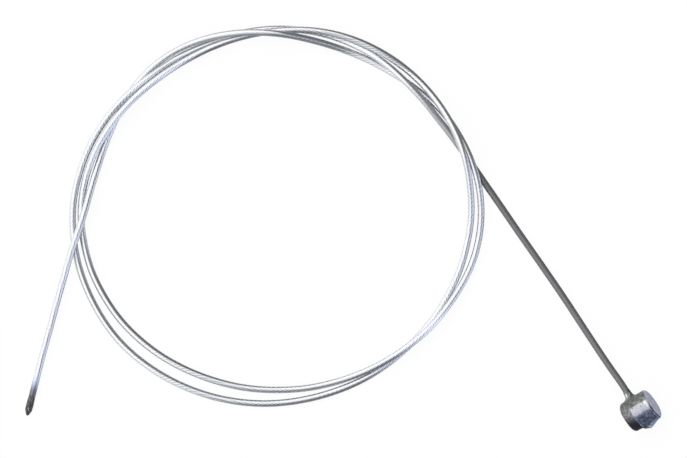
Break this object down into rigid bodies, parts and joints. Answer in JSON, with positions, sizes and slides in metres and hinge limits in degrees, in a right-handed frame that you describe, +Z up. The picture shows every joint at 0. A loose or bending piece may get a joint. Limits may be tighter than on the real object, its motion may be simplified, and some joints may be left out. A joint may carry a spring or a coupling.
{
  "type": "bicycle brake cable",
  "caption": "Stranded steel inner cable for a bicycle brake, in a loose coil, with a cast barrel nipple on one end and a blunt fused tip on the other.",
  "frame": {"origin": "under the middle of the whole cable's box, on the surface that it lies on", "axes": "+X along the longest extent, towards the nipple; +Y across the coil, away from the two ends; +Z up"},
  "size_m": [0.1402, 0.0893, 0.0083],
  "materials": {
    "rope_steel": "bright drawn wires, laid as a smooth strand, with a heat-darkened fused tip",
    "cast_zinc": "dull mottled grey zinc casting with a brighter gate pad"
  },
  "bodies": {
    "root": {"wire_rope": "rope_steel", "barrel_nipple": "cast_zinc"}
  },
  "joints": []
}
